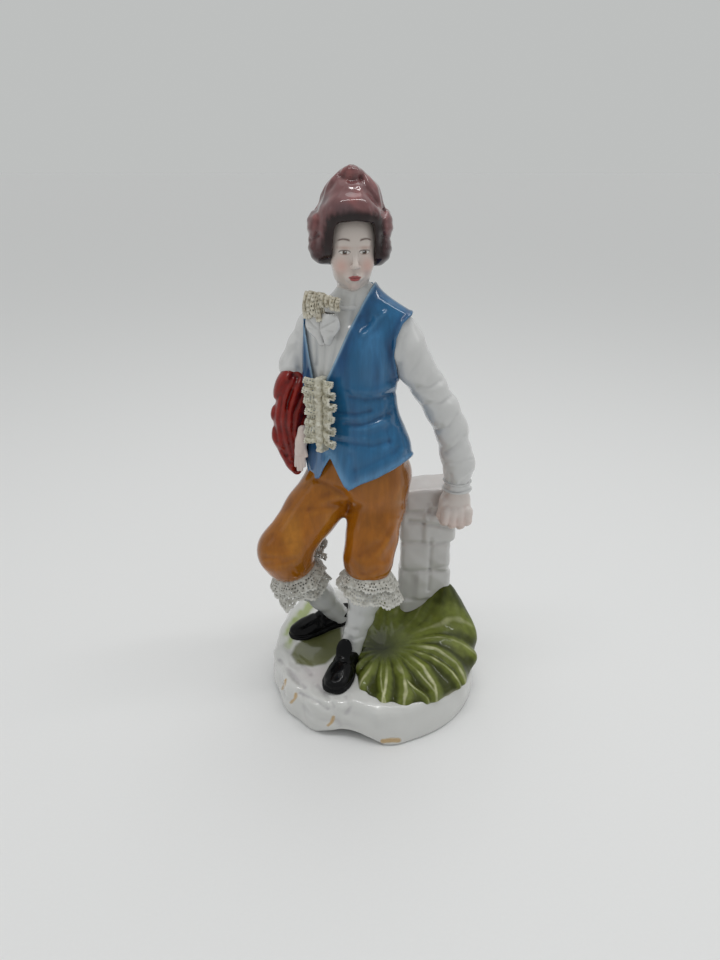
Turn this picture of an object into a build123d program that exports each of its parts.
from build123d import *
import math
import os

os.makedirs("parts", exist_ok=True)

# ---------------------------------------------------------------- dimensions, mm
TOTAL_HEIGHT = 203.0      # table to the top of the hair
BASE_RADIUS = 42.5        # foot ring, from the centre of the base
BASE_TOP = 15.5           # ground level on top of the base
BASE_WALL = 4.0           # cast wall of the hollow base
BASE_CEILING = 4.5        # thickness of the ground over the hollow
ARCH_HEIGHT = 3.2         # raised arch in the front of the foot ring
ROCK_TOP = 20.5           # raised rocks at the back left
PILLAR_TOP = 83.0         # top of the stone pillar
PILLAR_COURSE = 9.6       # height of one course of stones
SOLE = 15.5               # underside of both shoes
SHOE_LENGTH = 27.0
SHOE_WIDTH = 11.5
HEM_LEFT = 54.0           # bottom of the left breeches leg
HEM_RIGHT = 56.0          # bottom of the right breeches leg
WAIST = 98.0              # hem of the waistcoat
SHOULDER = 157.0          # top of the shoulders
TORSO_A = 20.0            # half of the chest's breadth
TORSO_B = 12.5            # half of the chest's depth
TURN = -38.0              # turn of the torso about Z, degrees
SLEEVE_R = 6.4
WRIST_R = 4.7
CHIN = 164.5
HEAD_R = 9.6              # half of the head's breadth, without hair
HAIR_R = 13.6             # half of the hair's breadth
LACE_T = 1.2              # thickness of the lace frills

cx, sx = math.cos(math.radians(TURN)), math.sin(math.radians(TURN))
SIDE = Vector(cx, sx, 0)          # towards the figure's left shoulder
FRONT = Vector(sx, -cx, 0)        # towards the figure's front


def ring(cxy, radii, z, start=0.0):
    """Closed outline through points at even angles about a centre."""
    n = len(radii)
    pts = []
    for i, r in enumerate(radii):
        a = math.radians(start + 360.0 * i / n)
        pts.append((cxy[0] + r * math.cos(a), cxy[1] + r * math.sin(a), z))
    return pts


def outline(pts):
    """A face inside a closed spline, for the loft that follows."""
    z = pts[0][2]
    with BuildSketch(Plane.XY.offset(z)) as face:
        with BuildLine():
            Spline(*[(p[0], p[1]) for p in pts], periodic=True)
        make_face()
    add(face.sketch)


def section(p, d, a, b, x=None):
    """One elliptical section of a limb: centre, direction, half axes."""
    d = Vector(*d) if not isinstance(d, Vector) else d
    if x is None:
        x = Vector(1, 0, 0) - d.normalized() * Vector(1, 0, 0).dot(d.normalized())
    with BuildSketch(Plane(origin=p, x_dir=x, z_dir=d)) as face:
        Ellipse(a, b)
    add(face.sketch)


def shoe_outline(heel, toe, width, z, grow=0.0, tail=0.0, lead=0.0):
    """A last-shaped outline from heel to toe; tail and lead pull the ends in."""
    hx, hy = heel
    tx, ty = toe
    length = math.hypot(tx - hx, ty - hy)
    ux, uy = (tx - hx) / length, (ty - hy) / length
    vx, vy = -uy, ux
    prof = [(0.0, 0.0), (0.06, 0.30), (0.22, 0.40), (0.42, 0.40), (0.66, 0.50),
            (0.84, 0.42), (0.96, 0.22), (1.0, 0.0), (0.96, -0.22), (0.84, -0.42),
            (0.66, -0.50), (0.42, -0.40), (0.22, -0.40), (0.06, -0.30)]
    pts = []
    for s, w in prof:
        s2 = tail + s * (1.0 - tail - lead)
        q = s2 * length
        o = w * (width + 2 * grow)
        pts.append((hx + ux * q + vx * o, hy + uy * q + vy * o, z))
    return pts


# ---------------------------------------------------------------- base
lobes = [43.0, 43.2, 43.6, 42.6, 43.0, 42.0, 42.6, 42.0, 41.0, 42.2, 40.8, 42.4,
         41.2, 42.0, 41.2, 43.2, 42.6, 41.8]
with BuildPart() as base_shell:
    outline(ring((0, 0), [r * 1.0 for r in lobes], 0.0))
    outline(ring((0, 0), [r * 0.965 for r in lobes], 6.0))
    outline(ring((0, 0), [r * 0.97 for r in lobes], BASE_TOP))
    loft()
    # raised rocks at the back left
    with BuildSketch(Plane.XY.offset(BASE_TOP)):
        with Locations((-17, 18)):
            Ellipse(20, 17)
    with BuildSketch(Plane.XY.offset(ROCK_TOP)):
        with Locations((-15, 22)):
            Ellipse(15, 10)
    loft()
    # the hollow, open underneath
    with BuildSketch():
        Circle(BASE_RADIUS - BASE_WALL - 1.5)
    with BuildSketch(Plane.XY.offset(BASE_TOP - BASE_CEILING)):
        Circle(BASE_RADIUS - BASE_WALL - 3.5)
    loft(mode=Mode.SUBTRACT)
    # the arch in the front of the foot ring
    with BuildSketch(Plane.XZ.offset(28.0)):
        with Locations((-10.0, 0.0)):
            Ellipse(13.0, ARCH_HEIGHT)
    extrude(amount=20.0, mode=Mode.SUBTRACT)
base_shell.part.label = "base_shell"

# ---------------------------------------------------------------- pillar
with BuildPart() as stone_pillar:
    z = BASE_TOP - 0.5
    courses = [(21.5, 19.5, 22.0, 17.0), (22.0, 19.0, 20.0, 15.0), (22.5, 19.5, 21.0, 16.0),
               (22.5, 19.5, 18.5, 14.5), (23.0, 19.5, 21.0, 16.0), (23.0, 20.0, 19.5, 15.0)]
    step = (PILLAR_TOP - 6.5 - z) / len(courses)
    for i, (px, py, w, d) in enumerate(courses):
        with BuildSketch(Plane.XY.offset(z + i * step)):
            with Locations(Location((px, py), 5.0 * (-1) ** i)):
                RectangleRounded(w, d, 3.5)
        extrude(amount=step)
    with BuildSketch(Plane.XY.offset(PILLAR_TOP - 6.5)):
        with Locations((23.5, 20.0)):
            RectangleRounded(22.0, 16.5, 4.0)
    extrude(amount=6.5)
    fillet(stone_pillar.faces().sort_by(Axis.Z)[-1].edges(), radius=1.6)
    add(base_shell.part, mode=Mode.SUBTRACT)
stone_pillar.part.label = "stone_pillar"

# ---------------------------------------------------------------- grass
with BuildPart() as grass_mound:
    outline(ring((21.0, -11.5), [23.6, 24.4, 25.4, 24.4, 23.0, 22.6, 23.0, 24.0, 25.6, 24.6, 23.6, 23.4], BASE_TOP))
    outline(ring((22.0, -8.5), [22.4, 22.0, 21.8, 21.5, 20.5, 20.0, 21.0, 22.0, 23.0, 22.5, 21.8, 22.0], 20.5))
    outline(ring((25.5, 1.0), [15.4, 14.5, 14.0, 14.0, 13.5, 14.5, 15.5, 16.5, 16.5, 16.0, 15.5, 15.5], 27.5))
    outline(ring((29.0, 9.0), [8.0, 7.5, 7.0, 7.0, 6.5, 7.5, 8.5, 9.0, 9.0, 8.5, 8.0, 8.0], 34.5))
    loft()
    add(stone_pillar.part, mode=Mode.SUBTRACT)
    add(base_shell.part, mode=Mode.SUBTRACT)
grass_mound.part.label = "grass_mound"

# ---------------------------------------------------------------- stockings and shoes
with BuildPart() as left_stocking:
    section((-10.0, -10.5, SOLE + 1.5), (0.0, 0.1, 1.0), 4.3, 5.6)
    section((-8.5, -9.6, SOLE + 9.0), (0.15, 0.1, 1.0), 4.4, 5.0)
    section((-5.5, -9.0, 34.0), (0.2, 0.03, 1.0), 5.8, 6.0)
    section((-2.6, -8.5, 46.0), (0.12, 0.02, 1.0), 6.8, 6.8)
    section((-1.6, -8.0, HEM_LEFT + 4.0), (0.1, 0.0, 1.0), 6.9, 6.9)
    loft()
left_stocking.part.label = "left_stocking"

with BuildPart() as right_stocking:
    section((-15.8, 11.9, SOLE + 7.2), (-0.35, -0.3, 1.0), 4.4, 5.0)
    section((-17.5, 10.0, SOLE + 13.0), (-0.4, -0.35, 1.0), 4.7, 5.0)
    section((-23.5, 5.2, 40.0), (-0.45, -0.35, 1.0), 6.2, 6.2)
    section((-29.5, 0.5, 53.0), (-0.42, -0.3, 1.0), 6.9, 6.9)
    section((-31.5, -1.2, HEM_RIGHT + 3.0), (-0.42, -0.3, 1.0), 6.9, 6.9)
    loft()
right_stocking.part.label = "right_stocking"

with BuildPart() as left_shoe:
    lh, lt = (-8.0, -5.0), (-16.5, -32.0)
    outline(shoe_outline(lh, lt, SHOE_WIDTH, SOLE))
    outline(shoe_outline(lh, lt, SHOE_WIDTH, SOLE + 2.5, 0.3))
    outline(shoe_outline(lh, lt, SHOE_WIDTH, SOLE + 6.0, -1.0, 0.0, 0.12))
    outline(shoe_outline(lh, lt, SHOE_WIDTH, SOLE + 9.5, -2.0, 0.02, 0.48))
    loft()
    add(left_stocking.part, mode=Mode.SUBTRACT)
left_shoe.part.label = "left_shoe"

with BuildPart() as right_shoe:
    rh, rt = (-9.5, 16.5), (-36.0, 4.5)
    outline(shoe_outline(rh, rt, SHOE_WIDTH, SOLE + 2.6))
    outline(shoe_outline(rh, rt, SHOE_WIDTH, SOLE + 5.2, 0.3))
    outline(shoe_outline(rh, rt, SHOE_WIDTH, SOLE + 8.8, -1.0, 0.0, 0.12))
    outline(shoe_outline(rh, rt, SHOE_WIDTH, SOLE + 12.5, -2.0, 0.02, 0.48))
    loft()
    add(right_stocking.part, mode=Mode.SUBTRACT)
    add(base_shell.part, mode=Mode.SUBTRACT)
right_shoe.part.label = "right_shoe"

# ---------------------------------------------------------------- breeches
with BuildPart() as breeches_seat:
    section((-4.5, 8.5, 84.0), (0, 0, 1), 14.0, 9.0, SIDE)
    section((-4.8, 7.0, 90.0), (0, 0, 1), 19.0, 12.5, SIDE)
    section((-5.5, 4.5, WAIST), (0, 0, 1), 19.5, 12.8, SIDE)
    loft()
breeches_seat.part.label = "breeches_seat"

with BuildPart() as breeches_left_leg:
    section((-1.6, -8.2, HEM_LEFT), (0.05, 0.1, 1.0), 8.8, 8.8)
    section((-1.2, -8.0, 63.0), (0.12, 0.2, 1.0), 9.6, 9.6)
    section((1.5, 0.0, 79.0), (0.17, 0.5, 1.0), 10.6, 10.8)
    section((3.5, 5.5, 90.0), (0.1, 0.3, 1.0), 11.0, 12.5)
    loft()
    add(left_stocking.part, mode=Mode.SUBTRACT)
    add(breeches_seat.part, mode=Mode.SUBTRACT)
breeches_left_leg.part.label = "breeches_left_leg"

with BuildPart() as breeches_right_leg:
    # thigh
    section((-34.2, -4.6, 65.5), (0.85, 0.5, 1.0), 10.2, 10.2)
    section((-24.0, 1.4, 77.5), (0.85, 0.5, 1.0), 10.3, 10.8)
    section((-13.0, 7.6, 90.0), (0.85, 0.5, 1.0), 10.5, 11.5)
    loft()
    # knee
    with Locations((-34.2, -4.6, 65.5)):
        Sphere(10.2)
    # below the knee, down to the hem
    section((-34.2, -4.6, 65.5), (-0.3, -0.25, 1.0), 10.0, 10.0)
    section((-31.6, -1.8, HEM_RIGHT), (-0.3, -0.25, 1.0), 9.2, 9.2)
    loft()
    add(right_stocking.part, mode=Mode.SUBTRACT)
    add(breeches_seat.part, mode=Mode.SUBTRACT)
    add(breeches_left_leg.part, mode=Mode.SUBTRACT)
breeches_right_leg.part.label = "breeches_right_leg"

# ---------------------------------------------------------------- torso
TORSO = [((-5.4, 2.6), 22.0, 14.2, WAIST),
         ((-7.4, 2.6), 21.3, 13.4, 111.0),
         ((-9.3, 3.0), TORSO_A, TORSO_B, 124.0),
         ((-9.0, 3.2), TORSO_A + 0.8, TORSO_B + 0.2, 138.0),
         ((-8.0, 3.2), TORSO_A - 1.2, TORSO_B - 1.6, 149.5),
         ((-7.0, 3.0), 11.5, 8.4, SHOULDER)]
vee = [(-1.0, 10.0), (-16.0, 10.0), (-13.0, -22.0), (-10.5, -24.0)]

with BuildPart() as shirt_front:
    for (px, py), a, b, z in TORSO:
        section((px, py, z), (0, 0, 1), a, b, SIDE)
    loft()
    # keep the V between the two front edges, on the front half only
    with BuildSketch(Plane(origin=(-8.5, 3.0, 136.0), x_dir=SIDE, z_dir=FRONT)):
        with BuildLine():
            Polyline((-8.0, 22.0), (9.5, 22.0), (-2.5, -20.0), (-5.0, -20.0), close=True)
        make_face()
    extrude(amount=30.0, mode=Mode.INTERSECT)
    with BuildSketch(Plane(origin=(-8.5, 3.0, 136.0), x_dir=SIDE, z_dir=FRONT)):
        Rectangle(60, 60)
    extrude(amount=4.0, mode=Mode.SUBTRACT)
shirt_front.part.label = "shirt_front"

with BuildPart() as waistcoat:
    for (px, py), a, b, z in TORSO:
        section((px, py, z), (0, 0, 1), a, b, SIDE)
    loft()
    # the two front points of the hem
    with BuildSketch(Plane(origin=(-5.4, 2.6, WAIST), x_dir=SIDE, z_dir=FRONT).offset(11.4)):
        with BuildLine():
            Polyline((-12.0, 0.0), (-7.0, -5.0), (-3.0, 0.5), (3.0, -6.0), (10.0, 0.0), (-1.0, 3.0), close=True)
        make_face()
    extrude(amount=2.4)
    add(shirt_front.part, mode=Mode.SUBTRACT)
    add(breeches_seat.part, mode=Mode.SUBTRACT)
    add(breeches_left_leg.part, mode=Mode.SUBTRACT)
    add(breeches_right_leg.part, mode=Mode.SUBTRACT)
waistcoat.part.label = "waistcoat"

# ---------------------------------------------------------------- head, hair, stock
with BuildPart() as head:
    with BuildSketch(Plane.XZ.offset(-0.5)):
        with BuildLine():
            Spline((-8.5, CHIN), (-8.5 + 4.4, CHIN + 2.4), (-8.5 + 8.6, CHIN + 9.5),
                   (-8.5 + HEAD_R, CHIN + 16.5), (-8.5 + 7.6, CHIN + 24.5), (-8.5, CHIN + 28.0),
                   tangents=[(1, 0), (-1, 0)])
            Line((-8.5, CHIN + 28.0), (-8.5, CHIN))
        make_face()
    revolve(axis=Axis((-8.5, 0.5, 0), (0, 0, 1)))
    # neck
    section((-6.8, 3.2, SHOULDER), (-0.1, -0.1, 1.0), 5.6, 5.6)
    section((-7.8, 2.0, CHIN + 6.0), (-0.1, -0.1, 1.0), 5.4, 5.6)
    loft()
    add(waistcoat.part, mode=Mode.SUBTRACT)
    add(shirt_front.part, mode=Mode.SUBTRACT)
head.part.label = "head"

with BuildPart() as neck_stock:
    section((-7.0, 2.9, SHOULDER), (-0.1, -0.1, 1.0), 8.2, 8.0)
    section((-7.5, 2.3, CHIN + 1.0), (-0.1, -0.1, 1.0), 7.2, 7.2)
    loft()
    add(head.part, mode=Mode.SUBTRACT)
    add(waistcoat.part, mode=Mode.SUBTRACT)
    add(shirt_front.part, mode=Mode.SUBTRACT)
neck_stock.part.label = "neck_stock"

with BuildPart() as hair:
    with BuildSketch(Plane.XZ.offset(-3.0)):
        with BuildLine():
            Spline((-7.8, 172.0), (-7.8 + 5.0, 172.6), (-7.8 + 10.5, 176.5), (-7.8 + HAIR_R, 185.0),
                   (-7.8 + 12.6, 192.5), (-7.8 + 9.0, 199.0), (-7.8 + 4.6, 202.1), (-7.8, TOTAL_HEIGHT))
            Line((-7.8, TOTAL_HEIGHT), (-7.8, 172.0))
        make_face()
    revolve(axis=Axis((-7.8, 3.0, 0), (0, 0, 1)))
    # the face and the chin stay open in front
    with BuildSketch(Plane.XZ.offset(3.0)):
        with Locations((-8.5, 179.5)):
            Ellipse(7.6, 12.0)
    extrude(amount=20.0, mode=Mode.SUBTRACT)
    add(head.part, mode=Mode.SUBTRACT)
hair.part.label = "hair"

# ---------------------------------------------------------------- arms
with BuildPart() as left_sleeve:
    section((6.0, -5.0, 155.8), (0.75, -0.2, -1.0), 3.8, 4.6)
    section((9.3, -6.0, 151.5), (0.5, -0.05, -1.0), SLEEVE_R, SLEEVE_R + 0.8)
    section((14.0, -6.0, 140.0), (0.42, 0.2, -1.0), SLEEVE_R + 0.3, SLEEVE_R + 0.2)
    section((22.6, -1.5, 120.0), (0.32, 0.24, -1.0), SLEEVE_R, SLEEVE_R)
    section((28.6, 3.5, 103.0), (0.26, 0.22, -1.0), SLEEVE_R - 0.6, SLEEVE_R - 0.6)
    section((31.2, 6.5, 90.5), (0.15, 0.14, -1.0), WRIST_R, WRIST_R)
    loft()
    add(waistcoat.part, mode=Mode.SUBTRACT)
left_sleeve.part.label = "left_sleeve"

with BuildPart() as left_cuff:
    section((31.2, 6.5, 90.5), (0.15, 0.14, -1.0), WRIST_R + 0.3, WRIST_R + 0.3)
    section((32.0, 7.2, 85.5), (0.15, 0.14, -1.0), WRIST_R + 1.2, WRIST_R + 1.2)
    loft()
left_cuff.part.label = "left_cuff"

with BuildPart() as left_hand:
    section((32.0, 7.2, 85.5), (0.15, 0.14, -1.0), 4.0, 4.2)
    section((33.0, 7.4, 79.5), (0.05, -0.1, -1.0), 6.4, 5.4)
    section((33.6, 6.2, 73.0), (0.0, -0.25, -1.0), 5.6, 4.2)
    section((33.6, 4.9, 68.6), (0.0, -0.25, -1.0), 3.6, 2.8)
    loft()
    add(stone_pillar.part, mode=Mode.SUBTRACT)
    add(left_cuff.part, mode=Mode.SUBTRACT)
left_hand.part.label = "left_hand"

with BuildPart() as right_sleeve:
    section((-18.0, 11.5, 155.5), (-0.8, 0.2, -1.0), 3.6, 4.2)
    section((-21.5, 13.2, 150.5), (-0.5, 0.1, -1.0), SLEEVE_R, SLEEVE_R)
    section((-27.5, 14.0, 139.0), (-0.4, -0.05, -1.0), SLEEVE_R + 0.2, SLEEVE_R + 0.2)
    section((-31.0, 13.0, 129.0), (-0.2, -0.2, -1.0), SLEEVE_R, SLEEVE_R)
    loft()
    add(waistcoat.part, mode=Mode.SUBTRACT)
right_sleeve.part.label = "right_sleeve"

with BuildPart() as cloak:
    section((-30.0, 11.0, 134.5), (-0.1, -0.1, -1.0), 4.6, 6.5)
    section((-31.5, 9.5, 125.0), (-0.1, -0.1, -1.0), 6.6, 9.0)
    section((-31.5, 7.5, 112.0), (0.0, -0.1, -1.0), 6.4, 9.0)
    section((-31.0, 6.0, 100.0), (0.0, -0.1, -1.0), 5.4, 8.0)
    section((-30.0, 5.0, 92.0), (0.0, -0.1, -1.0), 4.0, 6.0)
    loft()
    add(waistcoat.part, mode=Mode.SUBTRACT)
    add(right_sleeve.part, mode=Mode.SUBTRACT)
    add(breeches_right_leg.part, mode=Mode.SUBTRACT)
    add(breeches_seat.part, mode=Mode.SUBTRACT)
cloak.part.label = "cloak"

with BuildPart() as right_hand:
    section((-27.6, -3.0, 111.5), (0.0, -0.1, -1.0), 2.6, 3.0)
    section((-28.0, -4.0, 105.0), (0.0, -0.1, -1.0), 3.4, 3.2)
    section((-27.6, -4.0, 98.5), (0.0, 0.0, -1.0), 2.2, 2.4)
    loft()
    add(waistcoat.part, mode=Mode.SUBTRACT)
    add(cloak.part, mode=Mode.SUBTRACT)
    add(breeches_right_leg.part, mode=Mode.SUBTRACT)
right_hand.part.label = "right_hand"

# ---------------------------------------------------------------- lace at the throat
with BuildPart() as cravat_lace:
    with BuildSketch(Plane(origin=(-16.8, -6.0, 158.0), x_dir=SIDE, z_dir=FRONT)):
        RectangleRounded(15.0, 9.5, 2.0)
    extrude(amount=4.2)
    add(neck_stock.part, mode=Mode.SUBTRACT)
    add(waistcoat.part, mode=Mode.SUBTRACT)
    add(shirt_front.part, mode=Mode.SUBTRACT)
    add(head.part, mode=Mode.SUBTRACT)
cravat_lace.part.label = "cravat_lace"

with BuildPart() as cravat_bow:
    with BuildSketch(Plane(origin=(-15.4, -4.2, 149.4), x_dir=SIDE, z_dir=FRONT)):
        with BuildLine():
            Polyline((-5.5, 3.5), (5.5, 3.5), (6.0, -1.0), (1.5, -8.0), (-1.5, -8.0), (-5.5, -1.0), close=True)
        make_face()
    extrude(amount=4.0)
    add(waistcoat.part, mode=Mode.SUBTRACT)
    add(shirt_front.part, mode=Mode.SUBTRACT)
    add(neck_stock.part, mode=Mode.SUBTRACT)
    add(cravat_lace.part, mode=Mode.SUBTRACT)
cravat_bow.part.label = "cravat_bow"

JABOT = Plane(origin=(-17.6, -5.2, 121.5), x_dir=SIDE, z_dir=FRONT)
with BuildPart() as jabot_band:
    with BuildSketch(JABOT):
        RectangleRounded(2.6, 28.0, 1.0)
    extrude(amount=4.4)
    add(waistcoat.part, mode=Mode.SUBTRACT)
    add(shirt_front.part, mode=Mode.SUBTRACT)
jabot_band.part.label = "jabot_band"

with BuildPart() as jabot_right_ruffle:
    with BuildSketch(JABOT):
        with Locations((-5.0, 0.0)):
            RectangleRounded(7.0, 29.0, 1.5)
    extrude(amount=5.0)
    add(waistcoat.part, mode=Mode.SUBTRACT)
    add(shirt_front.part, mode=Mode.SUBTRACT)
    add(jabot_band.part, mode=Mode.SUBTRACT)
    add(right_hand.part, mode=Mode.SUBTRACT)
jabot_right_ruffle.part.label = "jabot_right_ruffle"

with BuildPart() as jabot_left_ruffle:
    with BuildSketch(JABOT):
        with Locations((5.0, 0.0)):
            RectangleRounded(7.0, 29.0, 1.5)
    extrude(amount=5.0)
    add(waistcoat.part, mode=Mode.SUBTRACT)
    add(shirt_front.part, mode=Mode.SUBTRACT)
    add(jabot_band.part, mode=Mode.SUBTRACT)
jabot_left_ruffle.part.label = "jabot_left_ruffle"


# ---------------------------------------------------------------- lace at the knees
def frill(c_top, c_bottom, d, r_top, r_bottom, keep_out):
    """A flared frill of lace round a leg, open in the middle."""
    top, bottom = Vector(*c_top), Vector(*c_bottom)
    over = (top - bottom) * 0.15
    slope = (r_bottom - r_top) * 0.15
    section(top, d, r_top, r_top)
    section(bottom, d, r_bottom, r_bottom)
    loft()
    section(top + over, d, r_top - slope - LACE_T, r_top - slope - LACE_T)
    section(bottom - over, d, r_bottom + slope - LACE_T, r_bottom + slope - LACE_T)
    loft(mode=Mode.SUBTRACT)
    for k in keep_out:
        add(k.part, mode=Mode.SUBTRACT)


with BuildPart() as left_lace_upper:
    frill((-1.6, -8.2, HEM_LEFT - 0.2), (-2.4, -8.8, HEM_LEFT - 4.8), (0.05, 0.1, 1.0), 8.6, 12.6,
          [left_stocking, breeches_left_leg])
left_lace_upper.part.label = "left_lace_upper"

with BuildPart() as left_lace_lower:
    frill((-1.8, -8.2, HEM_LEFT - 1.0), (-2.8, -8.9, HEM_LEFT - 10.0), (0.05, 0.1, 1.0), 8.1, 10.8,
          [left_stocking, breeches_left_leg, left_lace_upper])
left_lace_lower.part.label = "left_lace_lower"

with BuildPart() as right_lace_upper:
    frill((-31.5, -1.5, HEM_RIGHT - 0.3), (-29.8, -0.4, HEM_RIGHT - 5.2), (-0.35, -0.2, 1.0), 9.0, 13.2,
          [right_stocking, breeches_right_leg])
right_lace_upper.part.label = "right_lace_upper"

with BuildPart() as right_lace_lower:
    frill((-31.2, -1.3, HEM_RIGHT - 1.2), (-28.2, 0.4, HEM_RIGHT - 11.0), (-0.35, -0.2, 1.0), 8.5, 11.2,
          [right_stocking, breeches_right_leg, right_lace_upper])
right_lace_lower.part.label = "right_lace_lower"

PARTS = [base_shell, grass_mound, stone_pillar, left_shoe, right_shoe, left_stocking, right_stocking,
         left_lace_upper, left_lace_lower, right_lace_upper, right_lace_lower,
         breeches_left_leg, breeches_right_leg, breeches_seat, waistcoat, shirt_front,
         neck_stock, cravat_lace, cravat_bow, jabot_band, jabot_left_ruffle, jabot_right_ruffle,
         head, hair, left_sleeve, left_cuff, left_hand, right_sleeve, right_hand, cloak]
for piece in PARTS:
    print(piece.part.label, len(piece.part.solids()), round(piece.part.volume, 1))

export_step(base_shell.part, "parts/base_shell.step")
export_step(grass_mound.part, "parts/grass_mound.step")
export_step(stone_pillar.part, "parts/stone_pillar.step")
export_step(left_shoe.part, "parts/left_shoe.step")
export_step(right_shoe.part, "parts/right_shoe.step")
export_step(left_stocking.part, "parts/left_stocking.step")
export_step(right_stocking.part, "parts/right_stocking.step")
export_step(left_lace_upper.part, "parts/left_lace_upper.step")
export_step(left_lace_lower.part, "parts/left_lace_lower.step")
export_step(right_lace_upper.part, "parts/right_lace_upper.step")
export_step(right_lace_lower.part, "parts/right_lace_lower.step")
export_step(breeches_left_leg.part, "parts/breeches_left_leg.step")
export_step(breeches_right_leg.part, "parts/breeches_right_leg.step")
export_step(breeches_seat.part, "parts/breeches_seat.step")
export_step(waistcoat.part, "parts/waistcoat.step")
export_step(shirt_front.part, "parts/shirt_front.step")
export_step(neck_stock.part, "parts/neck_stock.step")
export_step(cravat_lace.part, "parts/cravat_lace.step")
export_step(cravat_bow.part, "parts/cravat_bow.step")
export_step(jabot_band.part, "parts/jabot_band.step")
export_step(jabot_left_ruffle.part, "parts/jabot_left_ruffle.step")
export_step(jabot_right_ruffle.part, "parts/jabot_right_ruffle.step")
export_step(head.part, "parts/head.step")
export_step(hair.part, "parts/hair.step")
export_step(left_sleeve.part, "parts/left_sleeve.step")
export_step(left_cuff.part, "parts/left_cuff.step")
export_step(left_hand.part, "parts/left_hand.step")
export_step(right_sleeve.part, "parts/right_sleeve.step")
export_step(right_hand.part, "parts/right_hand.step")
export_step(cloak.part, "parts/cloak.step")
